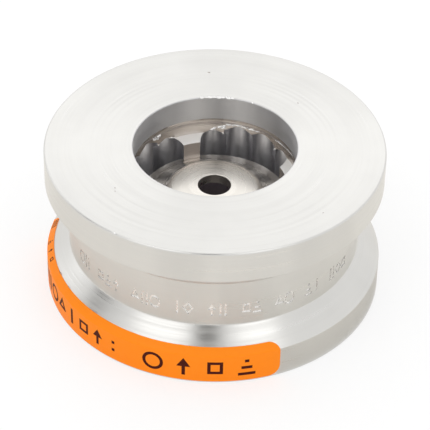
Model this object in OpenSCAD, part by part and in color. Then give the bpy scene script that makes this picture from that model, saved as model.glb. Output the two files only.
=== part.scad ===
// Wafer non-return valve with a spring-loaded lifting disc, clamped between two pipe flanges.
// Flow runs upwards along +Z, from the inlet face at z = 0 to the outlet face.
// The origin is the middle of the inlet face, and all lengths are in millimetres.

/* [Body] */
// Outside diameter of both rims, which centre the valve between the flange bolts
body_d = 94; // [90:1:104]
// Length from the inlet face to the outlet face
body_len = 45; // [44:0.5:52]
// Length of the straight outside of each rim
rim_len = 9.4; // [8:0.2:11]
// Diameter of the neck between the rims
neck_d = 81.4; // [76:0.2:85]
// Slope of the cones that join the neck to the rims, measured from the axis
cone_angle = 47; // [40:1:50]
// Rounding of the outer edges of both end faces
edge_r = 0.5; // [0.2:0.1:1]

/* [Outlet] */
// Diameter of the outlet port
outlet_d = 45.2; // [44:0.2:46]
// Length of the plain outlet bore
outlet_len = 7.4; // [6:0.2:8]
// Length of the round relief groove behind the outlet bore
groove_len = 2.6; // [2:0.2:3]
// How far the relief groove bulges out behind the straight line between its two edges
groove_sag = 0.7; // [0.4:0.1:0.9]
// Diameter of the wall between the relief groove and the ledges of the ribs
wall_d = 47; // [46.4:0.2:48.4]

/* [Ribs and pockets] */
// Number of guide ribs round the chamber
rib_count = 4; // [3:1:5]
// Turn of the first rib about the axis, from straight back
rib_turn = 19.2; // [0:0.2:45]
// Diameter across the inner faces of the ribs, above the guide cap
rib_d = 40.6; // [39:0.2:42]
// Depth of the outer edge of the ribs' ledges under the outlet face
ledge_depth = 12.9; // [12.4:0.1:14]
// Fall of the ledges from their outer edge to their inner edge
ledge_fall = 1; // [0.5:0.1:1.5]
// Depth of the shoulder under the ribs that the guide cap is pushed against
shoulder_depth = 19.3; // [18.5:0.1:20]
// Diameter inside the ribs that guides the cap and the disc
guide_d = 43; // [42.6:0.1:45]
// Diameter of the drill that plunges the pockets from the inlet side
drill_d = 8.8; // [8:0.2:9.6]
// Angle of the drill's point
point_angle = 118; // [100:1:140]
// Diameter of the circle on which the plunges are centred
plunge_circle_d = 44.8; // [44:0.2:46]
// Angle left for a rib between the middles of the plunges beside it
rib_span = 34.5; // [32:0.5:38]
// Largest angle between two plunges of one pocket
plunge_step = 19; // [16:0.5:20]
// Depth under the outlet face that the drill's point reaches in the middle of a pocket
pocket_depth = 9.5; // [9.4:0.1:10]
// Depth that it reaches in the shorter plunges beside the ribs
short_depth = 11.3; // [11:0.1:12]

/* [Seat and inlet] */
// How far the shut disc reaches past the soft insert, on each side
disc_reach = 0.3; // [0.2:0.1:0.5]
// Height of the seat ring
seat_len = 5; // [4.8:0.1:5.5]
// Diameter of the recess that holds the seat ring
recess_d = 60; // [59:0.5:63]
// Width by which the retaining ring's thread is larger than the recess, on each side
thread_step = 1; // [0.8:0.1:1.4]
// Bore of the retaining ring, which is the inlet port
inlet_d = 40; // [39:0.2:44]
// Height of the retaining ring
ring_len = 4.7; // [4.4:0.1:5.2]
// Distance of the retaining ring behind the inlet face
ring_setback = 0.3; // [0.2:0.1:0.6]
// Number of spanner notches in the retaining ring
notch_count = 4; // [2:1:6]
// Width of a spanner notch
notch_w = 5; // [4:0.5:6]
// Radial depth of a spanner notch
notch_depth = 3; // [2:0.5:4]
// Axial depth of a spanner notch
notch_len = 2.5; // [2:0.1:3]
// Number of pins that lock the retaining ring
pin_count = 2; // [1:1:4]
// Diameter of a lock pin
pin_d = 2.5; // [2:0.1:3]
// Length of a lock pin
pin_len = 4; // [3:0.1:4.2]
// Thickness of the cord of the seat ring's O-ring
o_ring_cord = 2.4; // [2:0.1:2.6]
// Metal left between the seat's bore and the soft insert
insert_lip = 0.8; // [0.6:0.1:1]
// Width of the soft insert
insert_w = 2; // [1.6:0.1:2.1]
// Depth of the soft insert in the seat ring
insert_depth = 2; // [1.5:0.1:2.5]
// Height by which the soft insert stands above the seat ring
insert_proud = 0.3; // [0.1:0.05:0.4]
// Radial gap of the pieces that slide into the body
slide_gap = 0.05; // [0.03:0.01:0.1]

/* [Disc and stem] */
// Travel of the disc from shut to fully open
lift = 7; // [6:0.1:7.2]
// Radial gap between the disc and the ribs
disc_gap = 0.4; // [0.3:0.05:0.5]
// Height of the disc's rim
disc_rim_len = 4; // [3:0.1:4.5]
// Radial width of the disc's rim
disc_rim_w = 3.4; // [2.5:0.1:4]
// Height of the disc's floor above its sealing face
floor_t = 0.6; // [0.4:0.1:0.8]
// Depth of the rounded nose under the sealing face
nose_depth = 4.5; // [4.2:0.1:4.8]
// Gap between the nose and the bore of the seat
nose_gap = 0.4; // [0.3:0.1:0.8]
// Diameter of the guide stem
stem_d = 9; // [8:0.1:9.4]
// Diameter of the stem's collar, which is the lift stop
collar_d = 14; // [12:0.2:15]
// Height of the stem's collar
collar_len = 1.5; // [1.2:0.1:2]
// Diameter of the screw that holds the stem
screw_d = 5; // [4:0.5:6]
// Diameter of the screw's countersunk head
screw_head_d = 9.2; // [9:0.2:10]
// Length of the screw's shank above its head
screw_len = 9; // [7:0.5:12]
// Width across the flats of the screw's socket
socket_w = 3; // [2.5:0.1:3.5]
// Depth of the screw's socket
socket_depth = 1.6; // [1.2:0.1:1.8]

/* [Spring] */
// Thickness of the spring's wire
wire_d = 1.2; // [1:0.05:1.2]
// Diameter of the spring's coil at the middle of its wire
coil_d = 22; // [21.2:0.1:22.8]
// Number of turns, with the closed turn at each end
turns = 4.5; // [4:0.5:4.5]
// Thickness of the washers above and below the spring
washer_t = 0.8; // [0.6:0.1:1]
// Width of the washers on each side of the spring's coil
washer_w = 1.1; // [0.8:0.1:1.3]

/* [Guide cap] */
// Radial gap between the guide cap and the ribs
cap_gap = 0.1; // [0.05:0.01:0.15]
// Thickness of the cap's flat rim
cap_rim_t = 2; // [1.6:0.1:2.4]
// Diameter at which the dome rises out of the flat rim
dome_d = 38; // [36:0.2:39]
// Height of the whole dome above the flat rim
dome_rise = 5.7; // [5.4:0.1:6.2]
// Diameter of the dome's gently rounded crown
crown_d = 26; // [24:0.5:28]
// Radius to which the crown is rounded
crown_r = 90; // [70:5:120]
// Rounding between the crown and the straight skirt of the dome
crown_edge_r = 3; // [2:0.5:4]
// Height of the spring's landing above the underside of the ribs' shoulder
landing_rise = 0.6; // [0.4:0.1:0.8]
// Diameter of the spring's landing inside the cap
landing_d = 28; // [27.4:0.2:28.6]
// Inner diameter of the cap's rim at its underside
cap_mouth_d = 33; // [32:0.2:34]
// Diameter of the hole in the top of the dome
cap_hole_d = 9.2; // [9.1:0.1:10]
// Outside diameter of the hub that holds the guide bush
hub_d = 14.8; // [14.6:0.1:16]
// Outside diameter of the guide bush
bush_d = 12; // [11:0.1:12.4]
// Metal left above the guide bush in the hub
bush_cover = 2.8; // [2.4:0.1:3.4]
// Radial running gap between the stem and the guide bush
stem_gap = 0.05; // [0.02:0.01:0.1]

/* [Label] */
// Thickness of the adhesive label
label_t = 0.12; // [0.1:0.02:0.2]
// Angle that the label runs round the inlet rim
label_angle = 131; // [90:1:180]
// Angle at which the label starts, from the right-hand side
label_start = 164; // [120:1:200]
// Distance of the label from the inlet face
label_low = 0.6; // [0.4:0.1:1.2]
// Width of the strip that is folded on to the cone
label_fold = 2.6; // [1:0.1:4]

/* [Hidden] */
$fn = 96;
// Overshoot of a cut past the face that it opens
over = 1;
// Steps in which a rounded profile is drawn
arc_steps = 6;
nose_steps = 14;
// Chamfer of the port edges and of small turned pieces
port_chamfer = 0.3;
body_r = body_d / 2;
neck_r = neck_d / 2;
cone_len = (body_r - neck_r) / tan(cone_angle);
outlet_r = outlet_d / 2;
groove_top = body_len - outlet_len;
groove_low = groove_top - groove_len;
wall_r = wall_d / 2;
ledge_z = body_len - ledge_depth;
rib_r = rib_d / 2;
shoulder_z = body_len - shoulder_depth;
guide_r = guide_d / 2;
recess_r = recess_d / 2;
thread_r = recess_r + thread_step;
ring_top = ring_setback + ring_len;
seat_top = ring_top + seat_len;
disc_r = guide_r - disc_gap;
insert_r = disc_r - disc_reach - insert_w;
seat_r = insert_r - insert_lip;
face_z = seat_top + insert_proud;
nose_r = seat_r - nose_gap;
nose_z = face_z - nose_depth;
floor_z = face_z + floor_t;
stem_r = stem_d / 2;
collar_top = floor_z + collar_len;
hub_low = collar_top + lift;
cap_r = guide_r - cap_gap;
landing_z = shoulder_z + landing_rise;
crown_centre_z = shoulder_z + dome_rise - crown_r;
hole_top_z = crown_centre_z + sqrt(pow(crown_r, 2) - pow(cap_hole_d / 2, 2));
bush_top = hole_top_z - bush_cover;
// The stem's end stays just inside the dome when the disc is fully open
stem_top = hole_top_z - port_chamfer - lift;
spring_low = floor_z + washer_t;
spring_top = landing_z - washer_t;
washer_in_r = coil_d / 2 - wire_d / 2 - washer_w;
washer_out_r = coil_d / 2 + wire_d / 2 + washer_w;
head_len = (screw_head_d - screw_d) / 2;
wire_sides = 10;
rings_per_turn = 28;
// Share of a turn that lies flat at each end of the spring
closed_turn = 0.75;

// Points of an arc round a centre, from one angle to another
function arc(cx, cz, r, from, to, steps) =
    [for (i = [0:steps]) let (a = from + (to - from) * i / steps) [cx + r * cos(a), cz + r * sin(a)]];

// Points of an arc between two points that bulges out to the right by a sag
function bulge(p, q, sag, steps) =
    let (
        chord = norm(q - p),
        r = (pow(chord / 2, 2) + pow(sag, 2)) / (2 * sag),
        along = (q - p) / chord,
        out = [-along[1], along[0]],
        mid = (p + q) / 2,
        centre = mid - out * (r - sag),
        half = asin(chord / 2 / r)
    )
    [for (i = [0:steps]) let (a = half * (2 * i / steps - 1)) centre + r * (out * cos(a) + along * sin(a))];

// A flat washer with lightly chamfered edges
module washer(r_in, r_out, low, thick) {
    c = min(port_chamfer, thick / 4);
    rotate_extrude()
        polygon([
            [r_in + c, low], [r_out - c, low], [r_out, low + c], [r_out, low + thick - c],
            [r_out - c, low + thick], [r_in + c, low + thick], [r_in, low + thick - c], [r_in, low + c]
        ]);
}

// Outline of the turned body, with the ribs still joined to a full ring
module body_profile() {
    top_edge = arc(body_r - edge_r, body_len - edge_r, edge_r, 0, 90, arc_steps);
    low_edge = arc(body_r - edge_r, edge_r, edge_r, -90, 0, arc_steps);
    groove = bulge([wall_r, groove_low], [outlet_r, groove_top], -groove_sag, arc_steps);
    polygon(concat(
        [[thread_r + port_chamfer, 0]],
        low_edge,
        [
            [body_r, rim_len],
            [neck_r, rim_len + cone_len],
            [neck_r, body_len - rim_len - cone_len],
            [body_r, body_len - rim_len]
        ],
        top_edge,
        [
            [outlet_r + port_chamfer, body_len],
            [outlet_r, body_len - port_chamfer]
        ],
        [for (i = [arc_steps:-1:0]) groove[i]],
        [
            [wall_r, ledge_z],
            [rib_r, ledge_z - ledge_fall],
            [rib_r, shoulder_z],
            [guide_r, shoulder_z],
            [guide_r, seat_top],
            [recess_r, seat_top],
            [recess_r, ring_top],
            [thread_r, ring_top],
            [thread_r, port_chamfer]
        ]
    ));
}

// Hole drilled from the inlet side up to a depth under the outlet face, with the drill's point
module plunge(depth) {
    low = seat_top - over;
    tip = body_len - depth;
    r = drill_d / 2;
    rotate_extrude()
        polygon([[0, low], [r, low], [r, tip - r / tan(point_angle / 2)], [0, tip]]);
}

// Plunges side by side make one pocket, and leave a sharp cusp between each two
module pocket() {
    gap = 360 / rib_count - rib_span;
    cuts = ceil(gap / plunge_step);
    for (i = [0:cuts])
        rotate(gap * (i / cuts - 0.5))
            translate([plunge_circle_d / 2, 0])
                plunge(i == 0 || i == cuts ? short_depth : pocket_depth);
}

module pin_places() {
    for (i = [0:pin_count - 1])
        rotate(360 * i / pin_count + 45)
            translate([thread_r, 0, 0])
                children();
}

// Turned from one bar: rims, neck, ports, ribs and the plunged pockets between them
module valve_body() {
    color([0.82, 0.82, 0.80])
        difference() {
            rotate_extrude() body_profile();
            for (i = [0:rib_count - 1])
                rotate(90 + rib_turn - 180 / rib_count - 360 * i / rib_count)
                    pocket();
            pin_places()
                translate([0, 0, -over])
                    cylinder(d = pin_d, h = ring_setback + pin_len + over);
        }
}

// Metal seat ring with a groove for the soft insert and a rebate for the O-ring
module seat_ring() {
    out_r = recess_r - slide_gap;
    rebate_r = recess_r - o_ring_cord;
    color([0.74, 0.75, 0.76])
        rotate_extrude()
            polygon([
                [seat_r, ring_top + port_chamfer], [seat_r + port_chamfer, ring_top], [out_r, ring_top],
                [out_r, seat_top - o_ring_cord], [rebate_r, seat_top - o_ring_cord], [rebate_r, seat_top],
                [insert_r + insert_w, seat_top], [insert_r + insert_w, seat_top - insert_depth],
                [insert_r, seat_top - insert_depth], [insert_r, seat_top], [seat_r, seat_top]
            ]);
}

// Soft sealing ring pressed into the seat ring
module seat_insert() {
    c = min(port_chamfer, insert_proud);
    color([0.94, 0.94, 0.91])
        rotate_extrude()
            polygon([
                [insert_r, seat_top - insert_depth], [insert_r + insert_w, seat_top - insert_depth],
                [insert_r + insert_w, face_z - c], [insert_r + insert_w - c, face_z],
                [insert_r + c, face_z], [insert_r, face_z - c]
            ]);
}

// Static seal in the corner between seat ring and body
module seat_o_ring() {
    color([0.08, 0.08, 0.08])
        rotate_extrude()
            translate([recess_r - o_ring_cord / 2, seat_top - o_ring_cord / 2])
                circle(d = o_ring_cord, $fn = 32);
}

// Threaded ring that holds the seat ring, with notches for a pin spanner
module retaining_ring() {
    in_r = inlet_d / 2;
    out_r = thread_r - slide_gap;
    color([0.70, 0.71, 0.72])
        difference() {
            rotate_extrude()
                polygon([
                    [in_r + port_chamfer, ring_setback], [out_r - port_chamfer, ring_setback],
                    [out_r, ring_setback + port_chamfer], [out_r, ring_top], [in_r, ring_top],
                    [in_r, ring_setback + port_chamfer]
                ]);
            for (i = [0:notch_count - 1])
                rotate(360 * i / notch_count)
                    translate([in_r - over, -notch_w / 2, ring_setback - over])
                        cube([notch_depth + over, notch_w, notch_len + over]);
            pin_places()
                translate([0, 0, -over])
                    cylinder(d = pin_d, h = ring_setback + pin_len + over);
        }
}

// Pins set half into the body and half into the retaining ring, so that it can't unscrew
module retaining_ring_pins() {
    color([0.60, 0.60, 0.62])
        pin_places()
            translate([0, 0, ring_setback])
                cylinder(d = pin_d, h = pin_len);
}

// Dished disc with a flat sealing face and a rounded nose in the seat's bore
module valve_disc() {
    nose_sphere_r = (pow(nose_r, 2) + pow(nose_depth, 2)) / (2 * nose_depth);
    nose_flat_r = screw_head_d / 2 + port_chamfer;
    nose_centre_z = nose_z + nose_sphere_r;
    flat_z = nose_centre_z - sqrt(pow(nose_sphere_r, 2) - pow(nose_flat_r, 2));
    from = -90 + asin(nose_flat_r / nose_sphere_r);
    to = -90 + asin(nose_r / nose_sphere_r);
    dish_r = disc_r - disc_rim_w;
    c = port_chamfer;
    hole_r = screw_d / 2 + slide_gap;
    color([0.80, 0.80, 0.79])
        rotate_extrude()
            polygon(concat(
                [[hole_r, flat_z + screw_head_d / 2 - hole_r], [screw_head_d / 2, flat_z]],
                arc(0, nose_centre_z, nose_sphere_r, from, to, nose_steps),
                [
                    [disc_r - c, face_z],
                    [disc_r, face_z + c],
                    [disc_r, face_z + disc_rim_len - c],
                    [disc_r - c, face_z + disc_rim_len],
                    [dish_r, face_z + disc_rim_len],
                    [dish_r - floor_t, floor_z],
                    [hole_r, floor_z]
                ]
            ));
}

// Flat of the nose that the screw's head is flush with
function nose_flat_z() =
    let (
        r = (pow(nose_r, 2) + pow(nose_depth, 2)) / (2 * nose_depth),
        flat_r = screw_head_d / 2 + port_chamfer
    )
    nose_z + r - sqrt(pow(r, 2) - pow(flat_r, 2));

// Guide stem with the collar that stops the lift against the cap's hub
module guide_stem() {
    bore_top = nose_flat_z() + head_len + screw_len;
    c = port_chamfer;
    color([0.78, 0.79, 0.80])
        rotate_extrude()
            polygon([
                [screw_d / 2, floor_z], [collar_d / 2, floor_z], [collar_d / 2, collar_top - c],
                [collar_d / 2 - c, collar_top], [stem_r, collar_top], [stem_r, stem_top - c],
                [stem_r - c, stem_top], [0, stem_top], [0, bore_top], [screw_d / 2, bore_top]
            ]);
}

// Countersunk socket screw that pulls the stem on to the disc
module disc_screw() {
    low = nose_flat_z();
    color([0.45, 0.46, 0.48])
        difference() {
            rotate_extrude()
                polygon([
                    [0, low], [screw_head_d / 2, low], [screw_d / 2, low + head_len],
                    [screw_d / 2, low + head_len + screw_len], [0, low + head_len + screw_len]
                ]);
            translate([0, 0, low - over])
                cylinder(d = socket_w / cos(30), h = socket_depth + over, $fn = 6);
        }
}

module lower_spring_washer() {
    color([0.72, 0.72, 0.74]) washer(washer_in_r, washer_out_r, floor_z, washer_t);
}

module upper_spring_washer() {
    color([0.72, 0.72, 0.74]) washer(washer_in_r, washer_out_r, spring_top, washer_t);
}

// Height of the wire's middle after t turns: flat at both ends and rising evenly between
function wire_z(t) =
    let (
        free = spring_top - spring_low - wire_d * (1 + 2 * closed_turn),
        share = (t - closed_turn) / (turns - 2 * closed_turn),
        rise = min(1, max(0, share))
    )
    spring_low + wire_d / 2 + min(t, closed_turn) * wire_d
        + max(0, t - turns + closed_turn) * wire_d + free * rise;

// Round wire swept along the coil as one skin, closed by a flat face at each end
module closing_spring() {
    count = ceil(turns * rings_per_turn);
    points = [
        for (i = [0:count])
            let (t = turns * i / count)
            for (j = [0:wire_sides - 1])
                let (a = 360 * j / wire_sides, r = coil_d / 2 + wire_d / 2 * cos(a))
                [r * cos(360 * t), r * sin(360 * t), wire_z(t) + wire_d / 2 * sin(a)]
    ];
    skin = [
        for (i = [0:count - 1])
            for (j = [0:wire_sides - 1])
                let (k = (j + 1) % wire_sides, a = i * wire_sides, b = a + wire_sides)
                [a + j, b + j, b + k, a + k]
    ];
    first = [for (j = [0:wire_sides - 1]) j];
    last = [for (j = [wire_sides - 1:-1:0]) count * wire_sides + j];
    color([0.66, 0.67, 0.69])
        polyhedron(points, concat(skin, [first, last]), convexity = 10);
}

// Outside of the cap's dome, from its foot up a straight skirt and round the crown to the hole
function dome_outline() =
    let (
        crown_turn = asin(crown_d / 2 / crown_r),
        edge_centre = [0, crown_centre_z] + (crown_r - crown_edge_r) * [sin(crown_turn), cos(crown_turn)],
        foot = [dome_d / 2, shoulder_z],
        away = foot - edge_centre,
        skirt_turn = atan2(away[1], away[0]) + acos(crown_edge_r / norm(away)),
        crown = arc(0, crown_centre_z, crown_r, 90 - crown_turn, acos(cap_hole_d / 2 / crown_r), arc_steps)
    )
    concat(
        [foot],
        arc(edge_centre[0], edge_centre[1], crown_edge_r, skirt_turn, 90 - crown_turn, arc_steps),
        [for (i = [1:arc_steps]) crown[i]]
    );

// Domed cap that carries the spring and guides the stem, held under the ribs by the spring
module guide_cap() {
    color([0.86, 0.85, 0.83])
        rotate_extrude()
            polygon(concat(
                [
                    [cap_mouth_d / 2, shoulder_z - cap_rim_t],
                    [cap_r, shoulder_z - cap_rim_t],
                    [cap_r, shoulder_z]
                ],
                dome_outline(),
                [
                    [cap_hole_d / 2, bush_top],
                    [bush_d / 2, bush_top],
                    [bush_d / 2, hub_low],
                    [hub_d / 2, hub_low],
                    [hub_d / 2, landing_z],
                    [landing_d / 2, landing_z]
                ]
            ));
}

// Plain bearing bush in the cap's hub
module guide_bush() {
    in_r = stem_r + stem_gap;
    color([0.24, 0.22, 0.22])
        rotate_extrude()
            polygon([
                [in_r, hub_low + port_chamfer], [in_r + port_chamfer, hub_low], [bush_d / 2, hub_low],
                [bush_d / 2, bush_top], [in_r, bush_top]
            ]);
}

// Thin adhesive label round the inlet rim, folded over on to the cone
module identification_label() {
    fold = label_fold * [-sin(cone_angle), cos(cone_angle)];
    skin = label_t * [cos(cone_angle), sin(cone_angle)];
    edge = [body_r, rim_len];
    color([1.0, 0.5, 0.04])
        rotate_extrude(angle = label_angle, start = label_start)
            polygon([
                [body_r, label_low], [body_r + label_t, label_low],
                [body_r + label_t, rim_len + label_t * tan(cone_angle / 2)],
                edge + fold + skin, edge + fold, edge
            ]);
}

valve_body();
seat_ring();
seat_insert();
seat_o_ring();
retaining_ring();
retaining_ring_pins();
valve_disc();
guide_stem();
disc_screw();
lower_spring_washer();
closing_spring();
upper_spring_washer();
guide_cap();
guide_bush();
identification_label();
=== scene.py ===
"""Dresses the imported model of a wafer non-return valve.

Every operator makes one piece, or a few pieces that belong together, as fine turned, drilled or bent
meshes with their own materials. Lengths are in metres, written as millimetres times MM. Outer sizes
and places come from the frame, and the settings below hold the sizes that its boxes don't show.
"""

import math
import random

import bmesh
import bpy
from mathutils import Matrix, Vector


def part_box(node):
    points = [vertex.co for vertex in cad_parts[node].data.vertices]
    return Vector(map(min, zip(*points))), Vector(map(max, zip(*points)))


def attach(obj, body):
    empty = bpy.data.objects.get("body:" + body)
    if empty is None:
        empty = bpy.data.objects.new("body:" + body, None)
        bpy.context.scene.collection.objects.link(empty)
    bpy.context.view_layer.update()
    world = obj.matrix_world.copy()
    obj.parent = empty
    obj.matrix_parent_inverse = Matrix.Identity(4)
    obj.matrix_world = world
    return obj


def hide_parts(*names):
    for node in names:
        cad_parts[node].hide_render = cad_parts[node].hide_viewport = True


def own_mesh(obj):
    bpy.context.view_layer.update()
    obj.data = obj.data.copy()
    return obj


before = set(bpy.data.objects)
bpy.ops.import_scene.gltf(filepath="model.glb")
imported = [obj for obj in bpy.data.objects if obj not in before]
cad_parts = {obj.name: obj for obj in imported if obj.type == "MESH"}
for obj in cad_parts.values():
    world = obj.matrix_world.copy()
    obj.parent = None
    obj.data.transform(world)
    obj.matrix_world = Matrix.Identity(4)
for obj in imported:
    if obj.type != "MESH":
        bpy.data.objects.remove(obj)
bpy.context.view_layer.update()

bl_info = {
    "name": "Wafer non-return valve",
    "version": (1, 0, 0),
    "blender": (4, 5, 0),
    "location": "View3D > Sidebar > Valve",
    "description": "Builds the looks of a wafer non-return valve around its packed model",
    "category": "Object",
}

MM = 0.001
# Steps round the axis in the large turned pieces and in the small ones
FINE_STEPS = 240
SMALL_STEPS = 96
# Steps in the rounding of an edge, and the gap to the points that keep its neighbours flat
EDGE_STEPS = 4
HOLD = 0.03 * MM
# Edges that turn by more than this stay sharp
SHARP_ANGLE = math.radians(28)
OVER = 1 * MM


def top(node):
    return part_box(node)[1].z


def low(node):
    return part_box(node)[0].z


def radius(node):
    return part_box(node)[1].x


def at(r, a, z):
    """Point at that radius, angle and height round the axis."""
    return r * math.cos(a), r * math.sin(a), z


def linear(code):
    """Linear colour of an sRGB hex code such as "D2CEC6"."""
    parts = [int(code[i:i + 2], 16) / 255 for i in (0, 2, 4)]
    return tuple(p / 12.92 if p <= 0.04045 else ((p + 0.055) / 1.055) ** 2.4 for p in parts)


def length(name, about, millimetres):
    return bpy.props.FloatProperty(
        name=name, description=about, default=millimetres * MM, unit="LENGTH", precision=5)


def degrees(name, about, value):
    return bpy.props.FloatProperty(
        name=name, description=about, default=math.radians(value), unit="ROTATION")


def how_many(name, about, value, least):
    return bpy.props.IntProperty(name=name, description=about, default=value, min=least)


def colour(name, about, code):
    return bpy.props.FloatVectorProperty(
        name=name, description=about, default=linear(code), subtype="COLOR", size=3, min=0, max=1)


class ValveBodySizes(bpy.types.PropertyGroup):
    rim_len: length("Rim length", "Straight outside of each rim", 9.4)
    neck_d: length("Neck diameter", "Diameter between the rims", 81.4)
    cone_angle: degrees("Cone angle", "Slope of the cones beside the neck, from the axis", 47)
    edge_r: length("Edge radius", "Rounding of the outer edges of the end faces", 0.5)
    outlet_d: length("Outlet diameter", "Diameter of the outlet port", 45.2)
    outlet_len: length("Outlet length", "Length of the plain outlet bore", 7.4)
    groove_len: length("Groove length", "Length of the relief groove", 2.6)
    groove_sag: length("Groove sag", "Bulge of the relief groove", 0.7)
    wall_d: length("Wall diameter", "Diameter of the wall over the ledges", 47)
    rib_count: how_many("Ribs", "Number of guide ribs round the chamber", 4, 3)
    rib_turn: degrees("Rib turn", "Turn of the first rib from straight back", 19.2)
    rib_d: length("Rib diameter", "Diameter across the ribs over the cap", 40.6)
    ledge_depth: length("Ledge depth", "Depth of the ribs' ledges under the outlet face", 12.9)
    ledge_fall: length("Ledge fall", "Fall of a ledge towards the axis", 1)
    shoulder_depth: length("Shoulder depth", "Depth of the shoulder over the cap", 19.3)
    guide_d: length("Guide diameter", "Diameter inside the ribs round the disc", 43)
    drill_d: length("Drill diameter", "Diameter of the drill that plunges the pockets", 8.8)
    point_angle: degrees("Drill point", "Angle of the drill's point", 118)
    plunge_circle_d: length("Plunge circle", "Diameter of the circle of the plunges", 44.8)
    rib_span: degrees("Rib span", "Angle between the plunges beside a rib", 34.5)
    plunge_step: degrees("Plunge step", "Largest angle between two plunges", 19)
    pocket_depth: length("Pocket depth", "Depth that the drill's point reaches in a pocket", 9.5)
    short_depth: length("Short plunge", "Depth that it reaches beside a rib", 11.3)
    recess_d: length("Recess diameter", "Diameter round the seat ring", 60)
    thread_d: length("Thread diameter", "Diameter round the retaining ring", 62)
    pin_d: length("Lock pin", "Diameter of the lock pins", 2.5)
    pin_count: how_many("Lock pins", "Number of lock pins", 2, 1)
    mark_h: length("Stamp height", "Height of the stamped marks on the neck", 4.3)
    mark_depth: length("Stamp depth", "Depth of the stamped marks", 0.3)
    mark_drop: length("Stamp place", "Depth of the marks' feet under the outlet face", 26.5)
    mark_pitch: length("Stamp pitch", "Distance from one mark of a group to the next", 3)
    mark_gap: length("Stamp gap", "Extra distance between two groups of marks", 3.4)
    mark_share: bpy.props.FloatProperty(
        name="Stamp width", description="Width of a stamped mark as a share of its plain form",
        default=0.75, min=0, max=1, subtype="FACTOR")


class ValveInletSizes(bpy.types.PropertyGroup):
    inlet_d: length("Inlet diameter", "Bore of the retaining ring", 40)
    notch_count: how_many("Notches", "Number of spanner notches", 4, 2)
    notch_w: length("Notch width", "Width of a spanner notch", 5)
    notch_depth: length("Notch depth", "Radial depth of a spanner notch", 3)
    notch_len: length("Notch length", "Axial depth of a spanner notch", 2.5)
    seat_d: length("Seat bore", "Bore of the seat ring", 36)
    cord: length("O-ring cord", "Thickness of the O-ring's cord", 2.4)
    insert_w: length("Insert width", "Width of the soft insert", 2)


class ValveDiscSizes(bpy.types.PropertyGroup):
    rim_w: length("Disc rim", "Radial width of the disc's rim", 3.4)
    floor_t: length("Disc floor", "Height of the disc's floor over its sealing face", 0.6)
    nose_depth: length("Nose depth", "Depth of the rounded nose", 4.5)
    nose_d: length("Nose diameter", "Diameter of the nose in the seat", 35.2)
    stem_d: length("Stem diameter", "Diameter of the guide stem", 9)
    collar_len: length("Collar height", "Height of the stem's collar", 1.5)
    head_d: length("Screw head", "Diameter of the countersunk head", 9.2)
    screw_d: length("Screw diameter", "Diameter of the screw's shank", 5)
    socket_w: length("Socket width", "Width across the flats of the socket", 3)
    socket_depth: length("Socket depth", "Depth of the socket", 1.6)
    wire_d: length("Wire", "Thickness of the spring's wire", 1.2)
    coil_d: length("Coil diameter", "Diameter at the middle of the wire", 22)
    turns: bpy.props.FloatProperty(
        name="Turns", description="Turns of the spring, with the closed ones", default=4.5, min=2)


class ValveCapSizes(bpy.types.PropertyGroup):
    rim_t: length("Rim thickness", "Thickness of the cap's flat rim", 2)
    dome_d: length("Dome diameter", "Diameter at which the dome starts", 38)
    dome_rise: length("Dome rise", "Height of the whole dome over the rim", 5.7)
    crown_d: length("Crown diameter", "Diameter of the dome's gentle crown", 23.4)
    crown_r: length("Crown radius", "Radius to which the crown is rounded", 90)
    crown_edge_r: length("Crown edge", "Rounding between the crown and the skirt", 3)
    landing_d: length("Landing diameter", "Diameter of the spring's landing", 28)
    mouth_d: length("Mouth diameter", "Inner diameter of the rim underneath", 33)
    hole_d: length("Hole diameter", "Hole in the top of the dome", 9.2)
    hub_d: length("Hub diameter", "Outside of the hub", 14.8)
    bush_d: length("Bush diameter", "Outside of the guide bush", 12)


class ValveLabelSizes(bpy.types.PropertyGroup):
    start: degrees("Label start", "Angle at which the label starts", 164)
    span: degrees("Label angle", "Angle that the label runs round the rim", 129.4)
    fold: length("Label fold", "Width of the strip on the cone", 2.6)
    film_t: length("Film", "Thickness of the film", 0.1)
    ink_t: length("Ink", "Thickness of the printed ink", 0.02)
    corner_r: length("Corner radius", "Rounding of the label's right-hand corners", 3.2)
    slant: length("Slant", "Slant of the label's left-hand end", 3.5)


class ValveColours(bpy.types.PropertyGroup):
    body: colour("Body", "Turned stainless steel of the body", "D7D6D3")
    # Pockets: a base lighter than the body's, painted light in the deep pockets
    pocket: colour("Pockets", "Drilled stainless steel of the pockets", "E2E1E4")
    bore: colour("Bore", "Bored stainless steel of the outlet", "CFCECE")
    formed: colour("Groove", "Form turned stainless steel of the groove", "D2CAC4")
    # Ledges: a near-white base that is painted light, brighter than the body's own steel
    ledge: colour("Ledges", "Faced stainless steel of the ribs' ledges", "FCFAF7")
    # Ribs: a dark base that is painted shade, darker than the body's own steel; it also darkens the dull
    # pits in the face
    rib: colour("Ribs", "Reamed stainless steel of the ribs", "B2AAA5")
    # Torn metal: a near-white, mottled base that paints highlights, glints and grey shade on the stamps,
    # edge dents and burrs
    torn: colour("Torn metal", "Fresh stainless steel in the stamps and burrs", "F6F4F0")
    cap: colour("Cap", "Polished stainless steel of the cap", "E0DCD5")
    ring: colour("Rings", "Ground stainless steel of the seat and the retaining ring", "C2BFB9")
    fastener: colour("Fasteners", "Cold formed stainless steel", "9C9A97")
    spring: colour("Spring", "Drawn spring wire", "A7A6A4")
    ptfe: colour("Seat insert", "White fluoropolymer", "EFEDE6")
    filled_ptfe: colour("Bush", "Carbon filled fluoropolymer", "4A4247")
    rubber: colour("O-ring", "Black fluorocarbon rubber", "161616")
    film: colour("Label", "Orange vinyl film", "FF8A12")
    ink: colour("Ink", "Brown screen ink", "450E00")
    floor: colour("Floor", "Pale floor", "FFFFFF")


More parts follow.
